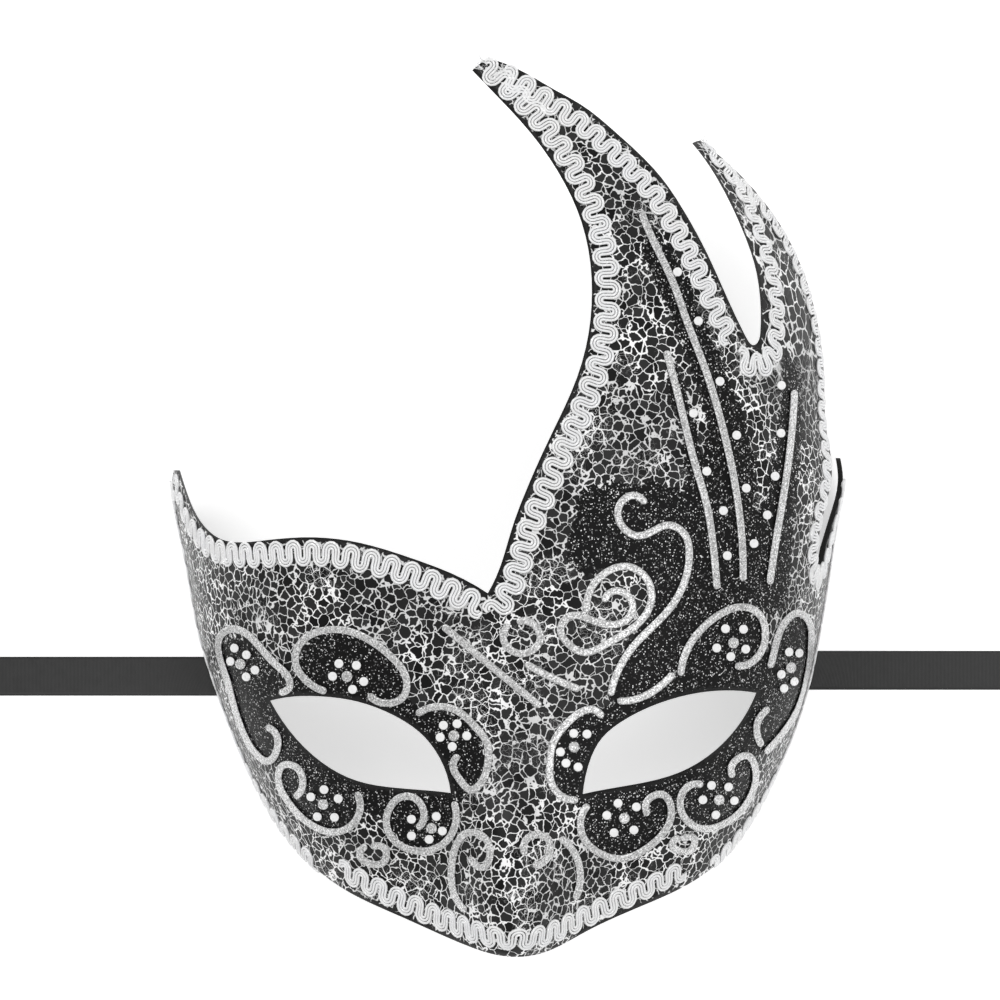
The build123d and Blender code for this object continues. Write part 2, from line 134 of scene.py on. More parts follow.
# %% Node helpers
def new_material(name):
    material = bpy.data.materials.new(name)
    material.use_nodes = True
    nodes = material.node_tree
    shader = nodes.nodes["Principled BSDF"]
    return material, nodes, shader


def plug(owner, socket, value):
    """Link a socket to another socket's output, or set it to a plain value."""
    if isinstance(value, bpy.types.NodeSocket):
        owner.links.new(value, socket)
    else:
        socket.default_value = value


def add_node(owner, kind, props=(), **sockets):
    """Add a node. A key such as i0 is an input's number, any other key is its name."""
    node = owner.nodes.new(kind)
    for key, value in dict(props).items():
        setattr(node, key, value)
    for key, value in sockets.items():
        numbered = key[0] == "i" and key[1:].isdigit()
        plug(owner, node.inputs[int(key[1:]) if numbered else key.replace("_", " ")], value)
    return node


def math_node(owner, operation, a, b=0.0, clamp=False):
    props = {"operation": operation, "use_clamp": clamp}
    return add_node(owner, "ShaderNodeMath", props, i0=a, i1=b).outputs[0]


def ramp(owner, value, low, high, out_low=0.0, out_high=1.0):
    """A smooth step from out_low at `low` to out_high at `high`."""
    node = add_node(owner, "ShaderNodeMapRange", {"interpolation_type": "SMOOTHSTEP"}, Value=value)
    limits = {"From Min": low, "From Max": high, "To Min": out_low, "To Max": out_high}
    for name, number in limits.items():
        node.inputs[name].default_value = number
    return node.outputs["Result"]


def mix_colour(owner, factor, a, b):
    return add_node(owner, "ShaderNodeMix", {"data_type": "RGBA"}, i0=factor, i6=a, i7=b).outputs[2]


def mix_value(owner, factor, a, b):
    return add_node(owner, "ShaderNodeMix", i0=factor, i2=a, i3=b).outputs[0]


def grey(level):
    return (level, level, level, 1.0)


def new_group(name, inputs, outputs):
    group = bpy.data.node_groups.new(name, "ShaderNodeTree")
    for label, kind, default in inputs:
        socket = group.interface.new_socket(label, in_out="INPUT", socket_type=kind)
        if default is not None:
            socket.default_value = default
    for label, kind in outputs:
        group.interface.new_socket(label, in_out="OUTPUT", socket_type=kind)
    return group, group.nodes.new("NodeGroupInput"), group.nodes.new("NodeGroupOutput")


def use_group(owner, group, **sockets):
    node = owner.nodes.new("ShaderNodeGroup")
    node.node_tree = group
    for key, value in sockets.items():
        plug(owner, node.inputs[key.replace("_", " ")], value)
    return node


print("node helpers ready")


# %% [markdown]
# ## Glitter
# Craft glitter is cut foil, about a third of a millimetre across, that lies at every
# angle in clear glue. Thousands of real flakes would be slow and would gain nothing at
# this size. A Voronoi pattern gives one cell to each flake instead: one random number
# says whether the flake catches the light, another how bright it is, a third its height.
# The flakes that catch the light are painted glints, made bright in the colour itself.

# %% Glitter group
FLAKE_EDGE = 0.62          # distance from a cell's middle at which its flake ends
FLAKE_CORE = 0.5


def make_glitter_group():
    group, given, out = new_group(
        "glitter_flakes",
        [("Flake Size", "NodeSocketFloat", 0.3 * MM), ("Bright Share", "NodeSocketFloat", 0.2)],
        [("Flake", "NodeSocketFloat"), ("Shade", "NodeSocketFloat"), ("Height", "NodeSocketFloat")],
    )
    place = group.nodes.new("ShaderNodeTexCoord").outputs["Object"]
    scale = math_node(group, "DIVIDE", 1.0, given.outputs["Flake Size"])
    cells = add_node(group, "ShaderNodeTexVoronoi", Vector=place, Scale=scale)
    pick = group.nodes.new("ShaderNodeSeparateColor")
    group.links.new(cells.outputs["Color"], pick.inputs[0])
    inside = ramp(group, cells.outputs["Distance"], FLAKE_EDGE, FLAKE_CORE)
    # Flakes past this limit, a share picked at random, are painted glints: the Flake output marks them as
    # lit, whatever the lamps do.
    limit = math_node(group, "SUBTRACT", 1.0, given.outputs["Bright Share"])
    glint_pick = math_node(group, "GREATER_THAN", pick.outputs[0], limit)
    group.links.new(math_node(group, "MULTIPLY", glint_pick, inside), out.inputs["Flake"])
    group.links.new(pick.outputs[1], out.inputs["Shade"])
    group.links.new(pick.outputs[2], out.inputs["Height"])
    return group


GLITTER = make_glitter_group()
print("group", GLITTER.name, "with", len(GLITTER.nodes), "nodes")


# %% Silver glitter glue
SCROLL_FLAKE = 0.34 * MM


def make_silver_glitter():
    material, nodes, shader = new_material("silver_glitter_glue")
    flakes = use_group(nodes, GLITTER, Flake_Size=SCROLL_FLAKE, Bright_Share=0.62)
    # body is the glue's own silver, uneven from flake to flake; the flakes marked as lit get painted glints,
    # near white in the colour.
    body = mix_colour(nodes, flakes.outputs["Shade"], grey(0.28), grey(0.62))
    painted_glints = mix_colour(nodes, flakes.outputs["Shade"], grey(0.72), grey(1.0))
    colour = mix_colour(nodes, flakes.outputs["Flake"], body, painted_glints)
    nodes.links.new(colour, shader.inputs["Base Color"])
    nodes.links.new(mix_value(nodes, flakes.outputs["Flake"], 0.15, 0.55), shader.inputs["Metallic"])
    nodes.links.new(mix_value(nodes, flakes.outputs["Shade"], 0.25, 0.5), shader.inputs["Roughness"])
    height = flakes.outputs["Height"]
    bump = add_node(nodes, "ShaderNodeBump", Strength=0.55, Distance=0.12 * MM, Height=height)
    nodes.links.new(bump.outputs[0], shader.inputs["Normal"])
    return material


SILVER = make_silver_glitter()
print("material", SILVER.name)


# %% [markdown]
# ## Crackle paint
# Crackle varnish shrinks as it dries and opens a net of pale cracks over the black paint.
# The net could be drawn by hand in Texture Paint, but a pattern needs no picture. Two
# Voronoi nets make it: a main one, pushed about by noise so that no edge is straight, and
# a finer one that shows only in patches. A bump lifts the paint along the same net.

# %% Crackle group
PUSH = 1.9 * MM            # how far noise moves the net sideways
FINE_NET = 2.1             # how many times smaller the cells of the finer net are
FINE_LINE = 0.7            # width of its lines against the main net's


def make_crackle_group():
    group, given, out = new_group(
        "crackle_net",
        [("Cell Size", "NodeSocketFloat", 2.2 * MM), ("Line Width", "NodeSocketFloat", 0.1)],
        [("Net", "NodeSocketFloat"), ("Cell Shade", "NodeSocketFloat")],
    )
    place = group.nodes.new("ShaderNodeTexCoord").outputs["Object"]
    wobble = add_node(group, "ShaderNodeTexNoise", Vector=place, Scale=480.0, Detail=2.0)
    middle = (0.5, 0.5, 0.5)
    vector = "ShaderNodeVectorMath"
    centred = add_node(group, vector, {"operation": "SUBTRACT"}, i0=wobble.outputs["Color"], i1=middle)
    pushed = add_node(group, vector, {"operation": "SCALE"}, i0=centred.outputs[0], Scale=PUSH)
    moved = add_node(group, vector, {"operation": "ADD"}, i0=place, i1=pushed.outputs[0]).outputs[0]
    scale = math_node(group, "DIVIDE", 1.0, given.outputs["Cell Size"])
    fine_scale = math_node(group, "MULTIPLY", scale, FINE_NET)
    edges = {"feature": "DISTANCE_TO_EDGE"}
    main = add_node(group, "ShaderNodeTexVoronoi", edges, Vector=moved, Scale=scale)
    fine = add_node(group, "ShaderNodeTexVoronoi", edges, Vector=moved, Scale=fine_scale)
    patch = add_node(group, "ShaderNodeTexNoise", Vector=place, Scale=90.0, Detail=3.0)
    swell = add_node(group, "ShaderNodeTexNoise", Vector=place, Scale=260.0, Detail=1.0)
    uneven = ramp(group, swell.outputs[0], 0.3, 0.7, 0.55, 1.5)
    width = math_node(group, "MULTIPLY", given.outputs["Line Width"], uneven)
    across = math_node(group, "DIVIDE", main.outputs["Distance"], width)
    line = math_node(group, "SUBTRACT", 1.0, across, clamp=True)
    thin = math_node(group, "MULTIPLY", width, FINE_LINE)
    across = math_node(group, "DIVIDE", fine.outputs["Distance"], thin)
    hair = math_node(group, "SUBTRACT", 1.0, across, clamp=True)
    hair = math_node(group, "MULTIPLY", hair, ramp(group, patch.outputs[0], 0.46, 0.64, 0.0, 0.5))
    both = math_node(group, "MAXIMUM", line, hair)
    group.links.new(ramp(group, both, 0.12, 0.5), out.inputs["Net"])
    cells = add_node(group, "ShaderNodeTexVoronoi", Vector=moved, Scale=scale)
    pick = group.nodes.new("ShaderNodeSeparateColor")
    group.links.new(cells.outputs["Color"], pick.inputs[0])
    group.links.new(pick.outputs[0], out.inputs["Cell Shade"])
    return group


CRACKLE = make_crackle_group()
print("group", CRACKLE.name, "with", len(CRACKLE.nodes), "nodes")


# %% [markdown]
# ## Black glitter fields
# Round the eyes and between the feather lines the crackle paint is covered with black
# glitter paint. The fields could be thin pieces of their own, but paint has no thickness
# to see. So each field is an outline on the front view, and its signed distance is stored
# on the shell's vertices, from which the shader draws a clean edge between two of them.

# %% Field outlines, front view, millimetres
FIELDS = {
    "left_eye": [
        (-73, -35), (-69, -33.5), (-64, -36), (-59, -41.5), (-57, -45.5), (-55, -46), (-53, -39),
        (-50, -34), (-44, -32.5), (-37, -34), (-30, -39), (-26.5, -44), (-26.5, -49.5), (-22, -52),
        (-14, -52.5), (-8.5, -57), (-6.5, -63), (-8.5, -70), (-12, -73.5), (-13.5, -78), (-15, -84),
        (-21, -87), (-27, -86), (-31, -80.5), (-33.5, -78.5), (-37.5, -77.5), (-40, -81),
        (-45, -83), (-51, -81), (-56, -76), (-58.5, -69), (-61, -65.5), (-65, -63), (-68, -58),
        (-71, -49), (-73.5, -40),
    ],
    "right_eye": [
        (12, -73.5), (9.8, -68), (9.8, -61), (13, -56), (17, -52.5), (22, -51.5), (27, -50),
        (36, -46), (41.5, -44), (43.5, -37.5), (47.5, -32), (53, -28), (59, -26.8), (63, -31),
        (62.5, -37), (65.5, -38), (67.5, -33), (70.5, -29), (74.5, -30), (76, -36), (74.8, -45),
        (72, -54), (66, -61.5), (62, -64), (61, -73), (56, -80), (48, -82), (43, -79), (40, -78),
        (36, -84.5), (29, -89), (21, -87.5), (17.3, -81), (17.5, -76),
    ],
    "swan": [
        (17, 2), (15, -6), (14, -14), (18, -19), (24, -16.5), (30, -16), (34, -20), (35, -26),
        (31, -32), (27, -38), (24, -46), (25, -51), (34, -48), (41, -42.5), (44, -36), (48, -30.5),
        (54, -26), (60, -25), (65, -29), (69, -26), (70, -16), (71, 0), (73, 16), (73, 33),
        (69, 36), (67.5, 26), (66, 12), (63, -1), (60.5, -2), (60.5, 10), (57.5, 22), (53.5, 32),
        (49.5, 41), (45.5, 51), (40.5, 61), (34, 70), (32.5, 62), (38, 50), (42, 40), (46, 29),
        (49, 19), (47.5, 11), (44, 24), (40.5, 34), (38.5, 31), (41.5, 18), (43.5, 8), (43, 2),
        (36, 4.5), (29, 4.5), (22, 4),
    ],
}
for field, outline in FIELDS.items():
    print(field, "outline has", len(outline), "points")


# %% Signed distance to an outline
def outline_distance(points, outline):
    """Signed distance to a closed outline, positive inside."""
    start = np.array(outline)
    end = np.roll(start, -1, axis=0)
    best = np.full(len(points), 1e9)
    inside = np.zeros(len(points), dtype=bool)
    for (ax, ay), (bx, by) in zip(start, end):
        dx, dy = bx - ax, by - ay
        along = (points[:, 0] - ax) * dx + (points[:, 1] - ay) * dy
        share = np.clip(along / (dx * dx + dy * dy), 0, 1)
        gap = np.hypot(points[:, 0] - ax - share * dx, points[:, 1] - ay - share * dy)
        best = np.minimum(best, gap)
        if dy:
            cross = (points[:, 1] < ay) != (points[:, 1] < by)
            at = ax + (points[:, 1] - ay) * dx / dy
            inside ^= cross & (points[:, 0] < at)
    return np.where(inside, best, -best)


temple = np.array([(-46.0, -40.0)])
depth = outline_distance(temple, FIELDS["left_eye"])[0]
print("a place in the left field is", round(float(depth), 1), "mm from its edge")


# %% [markdown]
# ## Values on the shell
# The paint changes with the place: black fields, a bare black band along each cut edge,
# larger cells on the second plume, and plain black plastic inside. Vertex groups or a
# painted mask could say so, but a number on every vertex is exact and moves with the mesh.

# %% Store the values
CUT_ANGLE = math.radians(50)
CUT_SAMPLES = 4
WALL_SLOPE = 0.35          # a normal this level belongs to an upright wall
WALL_START = 0.03
FAR = 100.0


def store_value(piece, name, values):
    attribute = piece.data.attributes.new(name, "FLOAT", "POINT")
    attribute.data.foreach_set("value", values)


def rim_gap(piece, places):
    """Distance in millimetres from each vertex to the nearest cut edge of the shell."""
    work = bmesh.new()
    work.from_mesh(piece.data)
    sharp = [e for e in work.edges if len(e.link_faces) == 2 and e.calc_face_angle() > CUT_ANGLE]
    cuts = KDTree(len(sharp) * CUT_SAMPLES)
    for i, edge in enumerate(sharp):
        low, high = edge.verts[0].co, edge.verts[1].co
        for step in range(CUT_SAMPLES):
            cuts.insert(low.lerp(high, (step + 0.5) / CUT_SAMPLES), i * CUT_SAMPLES + step)
    cuts.balance()
    work.free()
    return np.array([cuts.find(place)[2] / MM for place in places])


def store_fields(piece):
    count = len(piece.data.vertices)
    places = np.empty(count * 3)
    piece.data.vertices.foreach_get("co", places)
    places = places.reshape(-1, 3)
    front = np.stack([(places[:, 0] - SHIFT.x) / MM, (places[:, 1] - SHIFT.y) / MM], axis=1)
    nearest = np.max([outline_distance(front, outline) for outline in FIELDS.values()], axis=0)
    normals = np.empty(count * 3)
    piece.data.vertices.foreach_get("normal", normals)
    normals = normals.reshape(-1, 3)
    upright = (np.abs(normals[:, 2]) < WALL_SLOPE) & (np.abs(places[:, 0]) > WALL_START)
    wall = upright & (normals[:, 0] * places[:, 0] < 0)
    inner = (normals[:, 2] < -0.05) | wall
    coarse = np.clip((front[:, 0] - 55) / 6, 0, 1) * np.clip((front[:, 1] - 24) / 14, 0, 1)
    store_value(piece, "black_field", np.where(inner, nearest - FAR, nearest))
    store_value(piece, "inside_face", np.where(inner, 1.0, 0.0))
    store_value(piece, "coarse_cells", coarse)
    store_value(piece, "rim_gap", rim_gap(piece, places))
    print("vertices in black fields", int(((nearest > 0) & ~inner).sum()), "inside", int(inner.sum()))


store_fields(shell)


# %% [markdown]
# ## Shell paint
# The mask wears two paints, crackle and black glitter, over black plastic. Two materials
# on split faces would give a stepped edge, so one material holds both and mixes them by
# the stored values. Noise makes the edge between the paints a little ragged, as brushed.

# %% Crackle and glitter paint on the shell
CELL = 2.3 * MM
WIDE_CELL = 4.2 * MM
FIELD_FLAKE = 0.3 * MM
BARE_BAND = 1.3            # millimetres of bare black at a cut edge


def make_shell_paint():
    material, nodes, shader = new_material("crackle_painted_plastic")
    net = use_group(nodes, CRACKLE, Cell_Size=CELL, Line_Width=0.07)
    wide_net = use_group(nodes, CRACKLE, Cell_Size=WIDE_CELL, Line_Width=0.066)
    flakes = use_group(nodes, GLITTER, Flake_Size=FIELD_FLAKE, Bright_Share=0.17)
    field, inner, coarse, rim = [
        add_node(nodes, "ShaderNodeAttribute", {"attribute_name": name}).outputs["Fac"]
        for name in ("black_field", "inside_face", "coarse_cells", "rim_gap")
    ]
    place = nodes.nodes.new("ShaderNodeTexCoord").outputs["Object"]
    ragged = add_node(nodes, "ShaderNodeTexNoise", Vector=place, Scale=700.0, Detail=2.0).outputs[0]
    edge = math_node(nodes, "ADD", field, ramp(nodes, ragged, 0.3, 0.7, -0.8, 0.8))
    painted = ramp(nodes, edge, -0.25, 0.25)
    cell = mix_colour(nodes, net.outputs["Cell Shade"], grey(0.004), grey(0.03))
    lines = mix_value(nodes, coarse, net.outputs["Net"], wide_net.outputs["Net"])
    cloud = add_node(nodes, "ShaderNodeTexNoise", Vector=place, Scale=60.0, Detail=2.0).outputs[0]
    chalk = mix_colour(nodes, ramp(nodes, cloud, 0.35, 0.65), grey(0.66), grey(1.0))
    crackle = mix_colour(nodes, lines, cell, chalk)
    # The black glitter field: black paint with painted glints, a share of its flakes made bright in the
    # colour as if they caught the light.
    glint_colour = mix_colour(nodes, ramp(nodes, flakes.outputs["Shade"], 0.3, 1.0), grey(0.12), grey(1.0))
    black_with_glints = mix_colour(nodes, flakes.outputs["Flake"], grey(0.004), glint_colour)
    front = mix_colour(nodes, painted, crackle, black_with_glints)
    uneven_rim = math_node(nodes, "ADD", rim, ramp(nodes, ragged, 0.3, 0.7, -0.5, 0.5))
    bare = ramp(nodes, uneven_rim, BARE_BAND, BARE_BAND - 0.4)
    front = mix_colour(nodes, bare, front, grey(0.012))
    shader.inputs["Specular IOR Level"].default_value = 0.14
    colour = mix_colour(nodes, inner, front, grey(0.02))
    nodes.links.new(colour, shader.inputs["Base Color"])
    nodes.links.new(mix_value(nodes, painted, 0.42, 0.5), shader.inputs["Roughness"])
    lift = mix_value(nodes, painted, lines, flakes.outputs["Height"])
    outside = math_node(nodes, "SUBTRACT", 1.0, inner)
    bump = add_node(nodes, "ShaderNodeBump", Strength=0.5, Distance=0.12 * MM,
                    Height=math_node(nodes, "MULTIPLY", lift, outside))
    nodes.links.new(bump.outputs[0], shader.inputs["Normal"])
    return material


def shade_by_angle(piece, degrees=40):
    piece.data.polygons.foreach_set("use_smooth", [True] * len(piece.data.polygons))
    piece.data.set_sharp_from_angle(angle=math.radians(degrees))


def dress(piece, material, slot, *nodes, body=MASK):
    """Give a finished piece its material, its body and the nodes that it stands for."""
    piece.data.materials.clear()
    piece.data.materials.append(material)
    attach(piece, body)
    if nodes:
        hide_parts(*nodes)


shade_by_angle(shell)
dress(shell, make_shell_paint(), "crackle_painted_plastic", "mask_shell")
print("shell painted")


# %% [markdown]
# ## Beads of glue and paint
# A line squeezed from a tube is a round bead, and a dot of thick paint is a low dome. A
# bevelled curve could draw them, but the frame's flat-topped solids already have the
# right plan, so a fine remesh and a few smoothing passes turn each into a bead that
# still sits on the face.

# %% Round a solid into a bead
GLITTER_VOXEL = 0.26 * MM
PAINT_VOXEL = 0.2 * MM
GLUE_VOXEL = 0.45 * MM


def bead(node, name, voxel, passes):
    piece = merged_copy(node, name)
    remesh = piece.modifiers.new("remesh", "REMESH")
    remesh.mode = "VOXEL"
    remesh.voxel_size = voxel
    smooth = piece.modifiers.new("smooth", "SMOOTH")
    smooth.factor = 0.5
    smooth.iterations = passes
    baked = bpy.data.meshes.new_from_object(piece.evaluated_get(bpy.context.evaluated_depsgraph_get()))
    piece.modifiers.clear()
    piece.data = baked
    baked.polygons.foreach_set("use_smooth", [True] * len(baked.polygons))
    return piece


for node in sorted(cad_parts):
    if node.startswith("glitter_") or node.startswith("silver_dots"):
        line = bead(node, node + "_bead", GLITTER_VOXEL, 3)
        dress(line, SILVER, "silver_glitter", node)
print("glitter pieces", sum(node.startswith(("glitter_", "silver_dots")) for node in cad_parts))


# %% [markdown]
# ## White dots
# The dots are drops of thick white paint, slightly glossy and a little uneven. Spheres
# would stand too tall, so they are the frame's discs, rounded in the same way.

# %% White dots
def make_white_paint():
    material, nodes, shader = new_material("white_dimensional_paint")
    place = nodes.nodes.new("ShaderNodeTexCoord").outputs["Object"]
    mottle = add_node(nodes, "ShaderNodeTexNoise", Vector=place, Scale=900.0, Detail=2.0).outputs[0]
    nodes.links.new(mix_colour(nodes, mottle, grey(0.8), grey(0.98)), shader.inputs["Base Color"])
    nodes.links.new(ramp(nodes, mottle, 0.3, 0.7, 0.22, 0.38), shader.inputs["Roughness"])
    bump = add_node(nodes, "ShaderNodeBump", Strength=0.2, Distance=0.05 * MM, Height=mottle)
    nodes.links.new(bump.outputs[0], shader.inputs["Normal"])
    return material


WHITE = make_white_paint()
for node in sorted(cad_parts):
    if node.startswith("white_dots"):
        drops = bead(node, node + "_drops", PAINT_VOXEL, 4)
        dress(drops, WHITE, "white_paint", node)
        print(node, "has", len(drops.data.polygons), "faces")


# %% [markdown]
# ## Gimp braid
# Gimp is a flat trimming of three parallel cords that wind from side to side. An Array
# and a Curve modifier could repeat one loop, but they would stretch it in the bends. So
# the winding is worked out once, as straight legs joined by half circles, and laid along
# a route on the face, and every point is put back on the face.

# %% One period of the winding
CORD = 0.34 * MM          # radius of one cord
PITCH = 0.76 * MM         # from one cord to the next
TURN = 1.36 * MM          # radius of the middle cord's turns
LEG = 1.9 * MM            # straight leg between two turns
ARC_STEPS = 7


def winding(offset):
    """One period of a cord beside the middle one, as (along, across) pairs."""
    points = []
    for side, centre in ((1, TURN), (-1, 3 * TURN)):
        radius = TURN + side * offset
        for step in range(ARC_STEPS + 1):
            angle = math.pi * (1 - step / ARC_STEPS)
            across = side * (LEG / 2 + radius * math.sin(angle))
            points.append((centre + radius * math.cos(angle), across))
    return points


print("period", 4 * TURN / MM, "mm, points", len(winding(0)))


# %% A smooth route on the face
FIT = 2.5 * MM             # a cord this near to the face is laid on it
LOOK = 3                   # route points on either side that give its direction
CHIN_START = 0.085
ROUTE_STEPS = 24


def smooth_route(places):
    """Points every 0.5 mm or so on the smooth line through given points."""
    curve = bpy.data.curves.new("route", "CURVE")
    curve.dimensions = "3D"
    line = curve.splines.new("NURBS")
    line.points.add(len(places) - 1)
    for point, place in zip(line.points, places):
        point.co = (*place, 1.0)
    line.order_u = 3
    line.use_endpoint_u = True
    line.resolution_u = ROUTE_STEPS
    holder = bpy.data.objects.new("route", curve)
    mesh = bpy.data.meshes.new_from_object(holder)
    points = [v.co.copy() for v in mesh.vertices]
    bpy.data.objects.remove(holder)
    return points


def front_route(points):
    """A smooth route given in the front view, with every point of it put back on the face."""
    route = []
    for point in smooth_route([under(x, y) for x, y in points]):
        found, _, _, _ = tree.ray_cast(Vector((point.x, point.y, ABOVE)), DOWN)
        route.append(found if found is not None else tree.find_nearest(point)[0])
    return route


def side_route(points, side):
    """A route given in the side view, as y and z, on the left (-1) or right (1) temple."""
    found = []
    for y, z in points:
        start = Vector((side * 0.15, y * MM + SHIFT.y, z * MM))
        point, _, _, _ = tree.ray_cast(start, Vector((-side, 0, 0)))
        found.append(point if point is not None else tree.find_nearest(start)[0])
    return smooth_route(found)


def outward(point):
    """The face's normal near a point, turned away from the inside of the mask."""
    _, normal, _, _ = tree.find_nearest(point)
    away = Vector((point.x, min(point.y + CHIN_START, 0.0) * 3, 0.012))
    if normal.dot(away) < 0:
        normal = -normal
    return normal


print("a route through three places has", len(front_route([(0, 60), (10, 80), (5, 95)])), "points")


# %% Measure a route and place points beside it
class Track:
    """A route measured along its length, with the face's normal at each place."""

    def __init__(self, points):
        self.points = points
        self.at = [0.0]
        for a, b in zip(points, points[1:]):
            self.at.append(self.at[-1] + (b - a).length)
        self.length = self.at[-1]
        normals = [outward(p) for p in points]
        self.normals = []
        for i in range(len(points)):
            window = normals[max(0, i - LOOK - 1): i + LOOK + 2]
            self.normals.append(sum(window, Vector()).normalized())

    def place(self, along, across, lift):
        along = min(max(along, 0.0), self.length)
        i = min(max(int(np.searchsorted(self.at, along)) - 1, 0), len(self.points) - 2)
        share = (along - self.at[i]) / max(self.at[i + 1] - self.at[i], 1e-9)
        here = self.points[i].lerp(self.points[i + 1], share)
        low, high = max(i - LOOK, 0), min(i + LOOK + 1, len(self.points) - 1)
        forward = (self.points[high] - self.points[low]).normalized()
        normal = self.normals[i].lerp(self.normals[i + 1], share).normalized()
        beside = normal.cross(forward).normalized()
        spot = here + beside * across
        near, _, _, gap = tree.find_nearest(spot)
        if gap is not None and gap < FIT:
            spot = near
        return spot + normal * lift


print("a cord within", FIT / MM, "mm of the face is laid on it")


# %% Make round cords
def tube(name, lines, radius, sides=3):
    """Round cords along several lines, as one mesh."""
    curve = bpy.data.curves.new(name, "CURVE")
    curve.dimensions = "3D"
    curve.bevel_depth = radius
    curve.bevel_resolution = sides - 2
    curve.use_fill_caps = True
    for points in lines:
        line = curve.splines.new("POLY")
        line.points.add(len(points) - 1)
        line.points.foreach_set("co", [c for p in points for c in (*p, 1.0)])
    holder = bpy.data.objects.new(name, curve)
    mesh = bpy.data.meshes.new_from_object(holder)
    bpy.data.objects.remove(holder)
    mesh.name = name
    mesh.polygons.foreach_set("use_smooth", [True] * len(mesh.polygons))
    piece = bpy.data.objects.new(name, mesh)
    bpy.context.scene.collection.objects.link(piece)
    return piece


print("a cord is", 2 * CORD / MM, "mm thick")


# %% [markdown]
# ## Frayed ends
# Where the braid is cut at the tip of a horn or a plume, its fibres spring loose. A hair
# system could grow them, but a few thin tubes are enough and export as they are. A seeded
# random generator bends each fibre, so every run gives the same ends.

# %% Loose fibres
FIBRES = 16
FIBRE = 0.08 * MM          # radius of a fibre
SPREAD = 1.6


def add_mesh(piece, other):
    """Put another piece's mesh into a piece and drop the other."""
    work = bmesh.new()
    work.from_mesh(piece.data)
    work.from_mesh(other.data)
    work.to_mesh(piece.data)
    work.free()
    bpy.data.objects.remove(other)


def frayed(track, along, forward):
    """Loose fibres that stick out past a cut end of the braid."""
    chance = random.Random(round(along / MM) + len(track.points))
    root = track.place(along, 0, CORD)
    normal = track.normals[0 if along == 0 else -1]
    beside = normal.cross(forward)
    fibres = []
    for _ in range(FIBRES):
        start = root + beside * chance.uniform(-SPREAD, SPREAD) * MM - forward * MM
        lean = forward + beside * chance.uniform(-0.9, 0.9) + normal * chance.uniform(-0.2, 0.5)
        curl = beside * chance.uniform(-0.8, 0.8) + normal * chance.uniform(-0.3, 0.4)
        reach = chance.uniform(1.6, 3.4) * MM
        steps = (0, 0.3, 0.55, 0.8, 1.0)
        fibres.append([start + lean * reach * t + curl * reach * t * t for t in steps])
    return fibres


print(FIBRES, "fibres at each loose end")


# %% Wind a strip of gimp
def gimp(name, points, loose=()):
    """A strip of gimp braid: three wound cords, with loose fibres at the ends named."""
    track = Track(points)
    periods = max(1, round(track.length / (4 * TURN)))
    stretch = track.length / (periods * 4 * TURN)
    lines = []
    for offset in (-PITCH, 0.0, PITCH):
        line = []
        for period in range(periods):
            for along, across in winding(offset):
                line.append(track.place((period * 4 * TURN + along) * stretch, across, CORD * 0.9))
        lines.append(line)
    cords = tube(name, lines, CORD)
    fibres = []
    if "start" in loose:
        fibres += frayed(track, 0.0, (points[0] - points[3]).normalized())
    if "end" in loose:
        fibres += frayed(track, track.length, (points[-1] - points[-4]).normalized())
    if fibres:
        add_mesh(cords, tube(name + "_fibres", fibres, FIBRE))
    return cords


print("three cords", PITCH / MM, "mm apart")


# %% [markdown]
# ## Braid thread
# The cords are white thread spun with a little silver tinsel. An image of thread would
# smear on the bends, so noise gives the fibres and glitter flakes give the tinsel. The
# tinsel is partly real, metallic and glossy, and partly painted light: its flakes are
# painted white as glints.

# %% Braid thread
TINSEL = 0.22 * MM


def make_braid_thread():
    material, nodes, shader = new_material("gimp_braid_thread")
    place = nodes.nodes.new("ShaderNodeTexCoord").outputs["Object"]
    fibre = add_node(nodes, "ShaderNodeTexNoise", Vector=place, Scale=3200.0, Detail=2.0).outputs[0]
    broad = add_node(nodes, "ShaderNodeTexNoise", Vector=place, Scale=120.0, Detail=2.0).outputs[0]
    flakes = use_group(nodes, GLITTER, Flake_Size=TINSEL, Bright_Share=0.25)
    thread = mix_colour(nodes, fibre, grey(0.72), grey(1.0))
    tint = ramp(nodes, broad, 0.35, 0.65, 0.0, 0.35)
    tinted = mix_colour(nodes, tint, thread, (0.86, 0.87, 0.9, 1.0))
    # Painted glints: the tinsel flakes are made white in the colour; their metal and gloss below are real.
    painted_glints = mix_colour(nodes, flakes.outputs["Flake"], tinted, grey(1.0))
    nodes.links.new(painted_glints, shader.inputs["Base Color"])
    metal = math_node(nodes, "MULTIPLY", flakes.outputs["Flake"], 0.5)
    nodes.links.new(metal, shader.inputs["Metallic"])
    nodes.links.new(mix_value(nodes, flakes.outputs["Flake"], 0.62, 0.3), shader.inputs["Roughness"])
    bump = add_node(nodes, "ShaderNodeBump", Strength=0.6, Distance=0.1 * MM, Height=fibre)
    nodes.links.new(bump.outputs[0], shader.inputs["Normal"])
    return material


THREAD = make_braid_thread()
print("material", THREAD.name)
